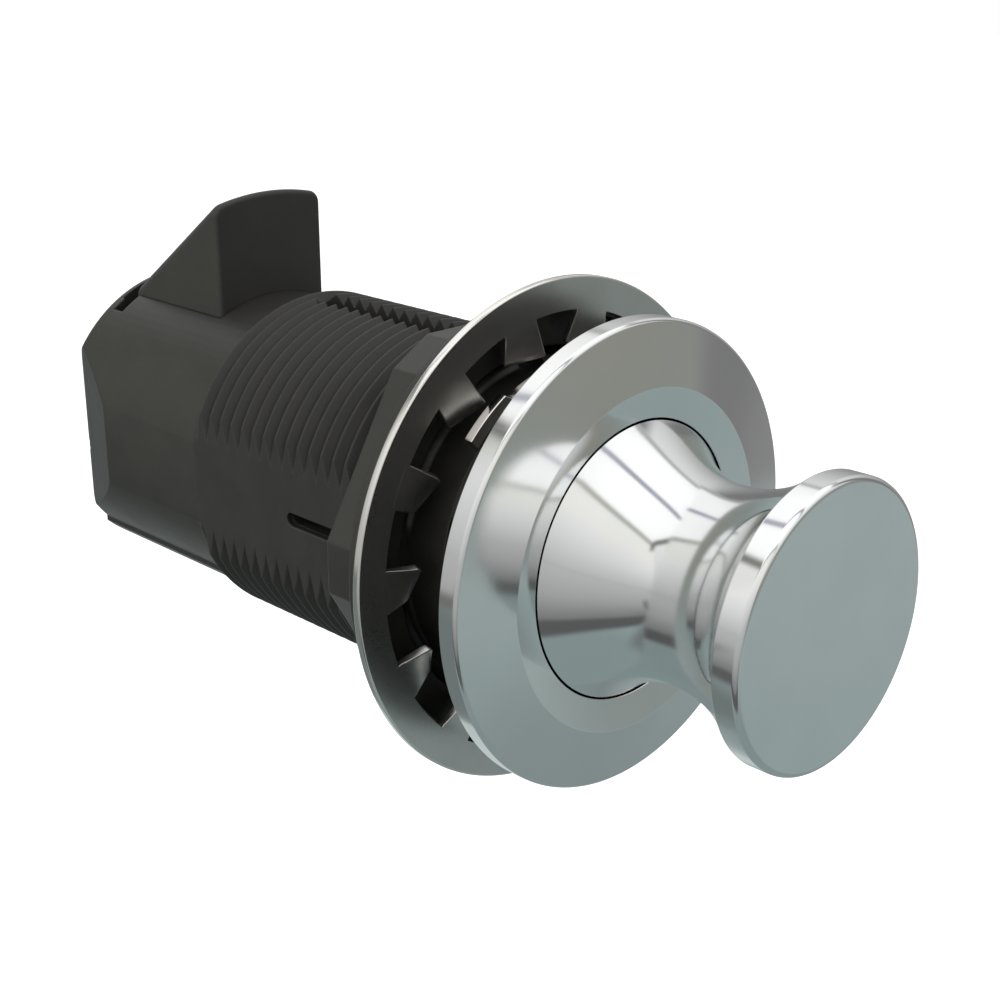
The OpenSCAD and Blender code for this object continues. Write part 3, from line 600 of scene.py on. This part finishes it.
def barrel_mesh():
    """The barrel's solid, drawn in under the threaded length, with the threaded sleeve over it."""
    core = bmesh.new()
    core.from_mesh(NODES["housing"].data)
    bmesh.ops.remove_doubles(core, verts=core.verts, dist=1e-6)
    for y in (THREAD_FRONT, THREAD_BACK):
        everything = core.verts[:] + core.edges[:] + core.faces[:]
        at = (0, y * MM, 0)
        bmesh.ops.bisect_plane(core, geom=everything, plane_co=at, plane_no=(0, 1, 0), dist=1e-8)
    mesh = bpy.data.meshes.new("threaded_barrel")
    core.to_mesh(mesh)
    core.free()
    place = np.zeros(len(mesh.vertices) * 3)
    mesh.vertices.foreach_get("co", place)
    place = place.reshape(-1, 3)
    r = np.hypot(place[:, 0], place[:, 2])
    sunk, margin = CORE_R * MM, 0.002
    behind_front = place[:, 1] > (THREAD_FRONT + margin) * MM
    before_back = place[:, 1] < (THREAD_BACK - margin) * MM
    inside = behind_front & before_back & (r > sunk)
    place[inside, 0] *= sunk / r[inside]
    place[inside, 2] *= sunk / r[inside]
    mesh.vertices.foreach_set("co", place.ravel())
    mesh.update()

    sleeve = as_mesh("sleeve", [thread_sleeve()], weld=2e-6)
    key = cutter("keyway", slot_outline(KEY_HALF, THREAD_FRONT - 1, KEY_END), KEY_FLOOR, 20, "z")
    slit = slot_outline(SLIT_HALF, SLIT_START, SLIT_END)
    slits = [cutter("slit_" + side, slit[:, ::-1], low, high, "x")
             for side, low, high in (("left", -20, -SLIT_X), ("right", SLIT_X, 20))]
    sleeve = cut_from(sleeve, [key, *slits])

    both = bmesh.new()
    both.from_mesh(mesh)
    both.from_mesh(sleeve)
    both.to_mesh(mesh)
    both.free()
    bpy.data.meshes.remove(sleeve)
    return mesh


# Springs


def coil_shell(radius, wire, length, turns, closed=1.0, steps=28, sides=10):
    """Round wire along a helix on +Z: at share s it has turned by 360 turns s degrees and stands at
    wire + (length - 2 wire) rise(s), where the rise is slower over the closed turns at both ends."""
    rings = int(turns * steps) + 1
    s = np.linspace(0, 1, rings)
    n = s * turns
    pitch = np.where((n < closed) | (n > turns - closed), 2 * wire, 0)
    free = (length - 2 * wire - 4 * wire * closed) / (turns - 2 * closed)
    pitch = np.where(pitch > 0, pitch, free)
    rise = np.concatenate([[0], np.cumsum((pitch[1:] + pitch[:-1]) / 2 * np.diff(n))])
    rise *= (length - 2 * wire) / rise[-1]
    a, b = (2 * np.pi * n)[:, None], np.linspace(0, 2 * np.pi, sides, endpoint=False)[None]
    fat = np.ones((rings, 1)) * wire
    q, h = radius + fat * np.cos(b), wire + rise[:, None] + fat * np.sin(b)
    tube = np.stack([q * np.cos(a), q * np.sin(a), h], 2)
    first, last = tube[:1].mean(1, keepdims=True), tube[-1:].mean(1, keepdims=True)
    cap = np.ones((1, sides, 1))
    return lattice(np.concatenate([first * cap, tube, last * cap]), False)


def moved(shell, place, upright=True):
    """Shell moved to a place; a shell that isn't upright lies along +Y instead of +Z."""
    v, f = shell
    v = v if upright else np.stack([v[:, 0], v[:, 2], -v[:, 1]], 1)
    return v + np.array(place), f


# Clip and bolt


def clip_shell():
    """Open spring ring: its section, a rectangle with eased edges, is carried along an arc that leaves the
    gap free. Past the ears at its ends the outer half of the section moves in by a fixed step. The last
    rows shrink to the section's middle, so both ends are closed and flat."""
    low, high = (v / MM for v in (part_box("retaining_clip")[0][1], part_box("retaining_clip")[1][1]))
    section = fillets([[CLIP_IN, low], [CLIP_R, low], [CLIP_R, high], [CLIP_IN, high]],
                      [0.03, CLIP_EDGE, CLIP_EDGE, 0.03], 5)
    a = np.radians(np.linspace(CLIP_GAP_DEG - 90, 270 - CLIP_GAP_DEG, 181))
    a = np.concatenate([a[:1], a, a[-1:]])[:, None]
    r, y = section[:, 0][None], section[:, 1][None] + 0 * a
    from_end = np.degrees(np.minimum(a - a[0], a[-1] - a))
    ring = np.clip((from_end - EAR_DEG) / 1.5, 0, 1)
    r = r - ring * CLIP_THIN * (r > (CLIP_IN + CLIP_R) / 2)
    for end in (0, -1):
        r[end], y[end] = r[end].mean(), y[end].mean()
    return lattice(np.stack([r * np.sin(a), y, r * np.cos(a)], 2), False)


def bolt_mesh():
    """Slam bolt. Its section has straight sides, an arched top with the radius of the nose and round
    shoulders; behind the crown the arch goes down with the slope, z = top - (y - crown) tan(slope), over a
    soft bend. In front the section shrinks by edge (1 - sin k) while y falls by edge (1 - cos k)."""
    inner = BOLT_TOP - SHOULDER
    shoulder_x = BOLT_HALF - SHOULDER
    shoulder_z = math.sqrt(inner**2 - shoulder_x**2)
    lean = math.degrees(math.asin(shoulder_x / inner))
    right = arc_between((shoulder_x, shoulder_z), SHOULDER, 0, 90 - lean, 9)
    arch = arc_between((0, 0), BOLT_TOP, 90 - lean, 90 + lean, 19)[1:-1]
    upper = np.concatenate([right, arch, right[::-1] * [-1, 1]])
    outline = np.concatenate([[[BOLT_HALF, BOLT_FOOT]], upper, [[-BOLT_HALF, BOLT_FOOT]]])
    along = np.roll(outline, -1, 0) - np.roll(outline, 1, 0)
    along /= np.linalg.norm(along, axis=1, keepdims=True)
    inward = np.stack([-along[:, 1], along[:, 0]], 1)
    inward[[0, -1]] = [[-1, 0], [1, 0]]

    k = np.radians(np.linspace(0, 90, 7))
    rest = np.concatenate([np.linspace(BOLT_FRONT + BOLT_EDGE + 0.05, BOLT_FRONT + 1.6, 12), [BOLT_BACK]])
    inset = np.concatenate([BOLT_EDGE * (1 - np.sin(k)), 0 * rest])
    y = np.concatenate([BOLT_FRONT + BOLT_EDGE * (1 - np.cos(k)), rest])
    crown, bend = BOLT_FRONT + BOLT_CROWN, 0.35
    past = np.clip((y - crown + bend) / (2 * bend), 0, 1)
    drop = (bend * past**2 + np.maximum(0, y - crown - bend)) * math.tan(math.radians(RAMP_DEG))
    flat = outline[None] + inward[None] * inset[:, None, None]
    z = flat[..., 1] - drop[:, None] * (outline[:, 1] > 0)[None]
    grid = np.stack([flat[..., 0], np.broadcast_to(y[:, None], z.shape), z], 2)
    cap_z = 5
    caps = [np.zeros_like(row) + [0, row[0, 1], cap_z] for row in (grid[0], grid[-1])]
    body = as_mesh("slam_bolt", [lattice(np.concatenate([caps[:1], grid, caps[1:]]), False)])

    low = BOLT_FOOT - 1
    behind = BOLT_BACK + 1
    slot = [
        [BOLT_FRONT - 1, low], [BOLT_FRONT - 1, SLOT_FRONT], [BOLT_FRONT + FRONT_WALL, SLOT_FRONT],
        [BOLT_FRONT + FRONT_WALL, SLOT_TOP], [SLOT_SLANT, SLOT_TOP],
        [behind, SLOT_TOP - (behind - SLOT_SLANT)], [behind, low],
    ]
    tools = [cutter("blade_slot", slot, -SLOT_HALF, SLOT_HALF, "x")]
    tools.append(cutter("pin_bore", arc_between((PIN_Y, PIN_Z), PIN_R, 0, 345, 24), -9, 9, "x"))
    for side in (-1, 1):
        bore = arc_between((side * BOLT_BORE_X, BOLT_BORE_Y), BOLT_BORE_R, 0, 345, 24)
        tools.append(cutter("spring_bore", bore, low, BOLT_BORE_TOP, "z"))
    body = cut_from(body, tools)

    whole = bmesh.new()
    whole.from_mesh(body)
    for side in (-1, 1):
        ends = sorted([side * (BOLT_HALF - 0.5), side * LUG_HALF])
        corners = [
            [BOLT_FRONT, LUG_LOW], [BOLT_BACK, LUG_LOW], [BOLT_BACK, LUG_HIGH], [BOLT_FRONT, LUG_HIGH],
        ]
        lug = as_mesh("lug", [prism(corners, *ends, "x")])
        whole.from_mesh(lug)
    whole.to_mesh(body)
    whole.free()
    return body


# The latch

turned_knob = lattice(revolved(knob_chain()), False)
turned_plate = lattice(revolved(escutcheon_chain(), 256), True)
as_piece("pull_knob", as_mesh("pull_knob", [turned_knob]), KNOB_CHROME, "pull", "knob")
as_piece("front_escutcheon", as_mesh("front_escutcheon", [turned_plate]),
         TRIM_CHROME, "barrel", "escutcheon")
as_piece("toothed_washer", as_mesh("toothed_washer", washer_shells()),
         WASHER, "washer", "star_washer", sharp=40)
as_piece("hexagon_clamp_nut", as_mesh("hexagon_clamp_nut", [nut_shell()]),
         NUT, "nut", "clamp_nut")
as_piece("threaded_barrel", barrel_mesh(),
         BARREL, "barrel", "housing", sharp=11, weighted=False)

coil = coil_shell(KNOB_SPRING_R, KNOB_WIRE, KNOB_SPRING_L, 6)
coil = moved(coil, (0, KNOB_SPRING_Y, 0), upright=False)
knob_spring = as_piece("knob_return_spring", as_mesh("knob_return_spring", [coil]),
                       WIRE, "barrel", "knob_spring")
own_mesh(knob_spring)
as_piece("neck_spring_clip", as_mesh("neck_spring_clip", [clip_shell()]),
         CLIP, "barrel", "retaining_clip", sharp=50)
as_piece("slam_bolt", bolt_mesh(), BOLT_NYLON_PAINTED_LIGHTER, "bolt", "bolt", sharp=35)
for side, x in (("left", -BOLT_BORE_X), ("right", BOLT_BORE_X)):
    coil = coil_shell(BOLT_SPRING_R, BOLT_WIRE, BOLT_SPRING_L, 13, steps=20, sides=8)
    coil = moved(coil, (x, BOLT_BORE_Y, BOLT_SPRING_Z))
    name = f"bolt_return_spring_{side}"
    spring = as_piece(name, as_mesh(name, [coil]), WIRE, "barrel", f"bolt_spring_{side}")
    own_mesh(spring)

for name, material in {
    "rear_cover": BARREL, "spring_cover": BARREL, "cover_screws": DARK, "guide_bush": ACETAL,
    "knob_screw": DARK, "pull_stem": STEM, "spring_seat": CAM, "cam_yoke": CAM,
    "yoke_pin": CAM, "cam_pin": CAM,
}.items():
    NODES[name].data.materials.clear()
    NODES[name].data.materials.append(material)


# Studio


def rounded_panel(b, across, up, centre, half, corner):
    """Distance in degrees from the edge of a wall panel with round corners, below 0 inside."""
    qx = abs(across - centre[0]) - (half[0] - corner)
    qy = abs(up - centre[1]) - (half[1] - corner)
    ox, oy = b.maths("MAXIMUM", qx, 0.0), b.maths("MAXIMUM", qy, 0.0)
    outside = b.maths("SQRT", ox * ox + oy * oy)
    inside = b.maths("MINIMUM", b.maths("MAXIMUM", qx, qy), 0.0)
    return outside + inside - corner


def wall_height(b, x, y, z, facing):
    """Elevation in degrees at which a level line on a flat wall, which faces the latch from an azimuth,
    would stand straight ahead; past 90 or under -90 the direction points away from the wall."""
    a = math.radians(facing)
    return b.maths("ARCTAN2", z, x * math.sin(a) - y * math.cos(a)) * (180 / math.pi)


def heights(stops):
    """Ramp stops given by the elevation in degrees."""
    return [((e + 90) / 180, c if isinstance(c, tuple) else (c, c, c)) for e, c in stops]


def studio_world():
    """White ceiling, pale floor light and the grey screens that a soft-box studio has round its table."""
    world = bpy.data.worlds.new("soft_studio")
    bpy.context.scene.world = world
    world.use_nodes = True
    b = Bench(world.node_tree)
    direction = b.node("ShaderNodeTexCoord", output="Generated")
    x, y, z = (b.node("ShaderNodeSeparateXYZ", None, {0: direction}, output=i) for i in range(3))
    across = b.maths("ARCTAN2", x, y * -1.0) * (180 / math.pi)
    up = b.maths("ARCSINE", z) * (180 / math.pi)
    height = (up + 90) / 180
    ramp = "ShaderNodeValToRGB"
    light = b.node(ramp, {"stops": heights([
        (-90, (0.235, 0.29, 0.29)), (-55, (0.24, 0.295, 0.295)), (-25, (0.31, 0.37, 0.37)),
        (-8, (0.37, 0.41, 0.41)), (5, (0.46, 0.47, 0.47)), (20, (0.66, 0.665, 0.66)),
        (38, (0.95, 0.95, 0.94)), (50, (1.1, 1.1, 1.1)), (90, (1.15, 1.15, 1.15))])}, {0: height})
    screen = heights([
        (-35, 0.22), (-20, 0.37), (-10, 0.43), (-1, 0.48), (1, 0.455), (3, 0.51), (10, 0.58), (20, 0.69),
        (30, 0.78), (40, (0.87, 0.86, 0.83)), (52, (0.9, 0.9, 0.87))])
    side = b.node(ramp, {"stops": heights([
        (-15, 0.26), (0, 0.32), (15, 0.48), (30, 0.68), (44, 0.8)])}, {0: height})

    # The screen in front, the table behind and a soft light on the rear left
    wall = b.node(ramp, {"stops": heights([
        (-45, (0.235, 0.28, 0.28)), (-30, (0.29, 0.35, 0.35)), (-20, (0.335, 0.395, 0.39)),
        (-10, (0.26, 0.3, 0.29)), (2, (0.265, 0.27, 0.245)), (12, (0.29, 0.275, 0.245))])}, {0: height})
    edge = rounded_panel(b, across, up, (35, -20), (62, 32), 14)
    light = b.mixed(b.step(edge, 6.0, -6.0), light, wall)
    rear = b.maths("ARCTAN2", x, y) * (180 / math.pi)
    edge = rounded_panel(b, rear, up, (15, -38), (34, 17), 12)
    light = b.mixed(b.step(edge, 7.0, -7.0), light, (0.54, 0.6, 0.59))
    edge = rounded_panel(b, rear, up, (-22, 15), (14, 28), 10)
    light = b.mixed(b.step(edge, 6.0, -6.0), light, (0.85, 0.85, 0.84))
    # The joint between two ceiling panels
    strip = abs(x / z + y / z * 0.25 - 0.13)
    light = b.mixed(b.step(strip, 0.06, 0.022) * b.step(z, 0.5, 0.75), light, (0.34, 0.34, 0.42))

    # The dark floor on the rear left
    edge = rounded_panel(b, across, up, (-156, -34), (26, 20), 10)
    light = b.mixed(b.step(edge, 8.0, -6.0), light, (0.16, 0.19, 0.185))
    # The wall on the left, with a dark band under it
    left = wall_height(b, x, y, z, -68)
    edge = rounded_panel(b, across, left, (-75, -20), (55, 31), 5)
    light = b.mixed(b.step(edge, 3.0, -3.0) * b.step(left, -10.0, -30.0), light, (0.10, 0.10, 0.10))
    edge = rounded_panel(b, across, left, (-81, 9.5), (69, 47.5), 6)
    light = b.mixed(b.step(abs(edge - 2), 4.5, 1.0) * b.step(left, 15.0, 40.0), light, (0.42, 0.41, 0.37))
    light = b.mixed(b.step(edge, 2.0, -2.0), light, b.node(ramp, {"stops": screen}, {0: (left + 90) / 180}))
    # The wall across the rear left corner, which falls off to the rear
    corner = wall_height(b, x, y, z, -140)
    edge = rounded_panel(b, across, corner, (-152, 14), (24, 27), 4)
    ends = b.step(abs(corner - 14), 20.0, 26.0)
    light = b.mixed(b.step(abs(edge - 2), 4.5, 1.0) * ends, light, (0.16, 0.16, 0.15))
    bright = b.node(ramp, {"stops": screen}, {0: (corner + 90) / 180})
    falling = b.mixed(b.step(across, -137.0, -168.0), bright, (0.17, 0.2, 0.16))
    light = b.mixed(b.step(edge, 2.0, -2.0), light, falling)
    # The wall on the right
    right = wall_height(b, x, y, z, 93)
    edge = rounded_panel(b, across, right, (98, 12), (38, 31), 8)
    top = b.step(right, 25.0, 38.0)
    light = b.mixed(b.step(abs(edge - 1), 5.0, 1.0) * top, light, (0.42, 0.42, 0.42))
    light = b.mixed(b.step(edge, 2.0, -3.0), light, side)
    light = b.mixed(b.step(edge, 2.0, -3.0) * b.step(across, 82.0, 68.0), light, (0.2, 0.2, 0.2))

    seen = b.node("ShaderNodeLightPath", output="Is Camera Ray")
    light = b.mixed(seen, light, (1.0, 1.0, 1.0))
    glow = b.node("ShaderNodeBackground", None, {"Color": light, "Strength": 1.0})
    b.node("ShaderNodeOutputWorld", None, {"Surface": glow})


def studio_floor():
    """Disc well under the latch: white to the camera but for the latch's soft shadow."""
    z, radius, sides = -0.26, 4.0, 96
    a = np.linspace(0, 2 * np.pi, sides, endpoint=False)
    vertices = np.stack([radius * np.cos(a), radius * np.sin(a), 0 * a + z], 1)
    mesh = bpy.data.meshes.new("studio_floor")
    mesh.from_pydata(vertices.tolist(), [], [list(range(sides))])
    floor = bpy.data.objects.new("studio_floor", mesh)
    bpy.context.scene.collection.objects.link(floor)
    paper = bpy.data.materials.new("white_paper")
    paper.use_nodes = True
    b = Bench(paper.node_tree)
    matt = b.node("ShaderNodeBsdfDiffuse", None, {"Color": (0.8, 0.8, 0.8, 1)})
    lit = b.node("ShaderNodeEmission", None, {"Color": (1, 1, 1, 1), "Strength": 0.55})
    both = b.node("ShaderNodeAddShader", None, {0: matt, 1: lit})
    open_air = b.node("ShaderNodeBsdfTransparent")
    seen = b.node("ShaderNodeLightPath", output="Is Camera Ray")
    surface = b.node("ShaderNodeMixShader", None, {0: seen, 1: open_air, 2: both})
    b.node("ShaderNodeOutputMaterial", None, {"Surface": surface})
    mesh.materials.append(paper)


def studio_camera():
    """Camera at the photograph's place: 45 degrees to the latch's left, 20 degrees above its axis."""
    az, el = math.radians(-44.93), math.radians(19.99)
    away, right, rise, aim_y = 130.7, -10.0, 4.48, -1.4
    back = Vector((math.sin(az) * math.cos(el), -math.cos(az) * math.cos(el), math.sin(el)))
    side = Vector((math.cos(az), math.sin(az), 0))
    top = back.cross(side)
    place = (side * right + top * rise + back * away + Vector((0, aim_y, 0))) * MM
    data = bpy.data.cameras.new("studio_camera")
    data.lens, data.sensor_width = 59.97, 36.0
    data.clip_start, data.clip_end = 0.005, 50.0
    camera = bpy.data.objects.new("studio_camera", data)
    turn = Matrix((side, top, back)).transposed()
    camera.matrix_world = Matrix.Translation(place) @ turn.to_4x4()
    bpy.context.scene.collection.objects.link(camera)
    bpy.context.scene.camera = camera


def studio_lamp():
    """Soft lamp on the latch's left, which lifts the sides of the black parts and leaves no highlight."""
    data = bpy.data.lights.new("soft_lamp", "AREA")
    data.shape, data.size, data.energy, data.color = "DISK", 0.5, 1.4, (1.0, 0.99, 0.95)
    lamp = bpy.data.objects.new("soft_lamp", data)
    lamp.location = (-0.52, 0.17, 0.09)
    lamp.rotation_euler = (-lamp.location).to_track_quat("-Z", "Y").to_euler()
    lamp.visible_glossy = False
    bpy.context.scene.collection.objects.link(lamp)


studio_world()
studio_floor()
studio_lamp()
studio_camera()
bpy.context.scene.view_settings.view_transform = "Standard"

bpy.context.view_layer.update()
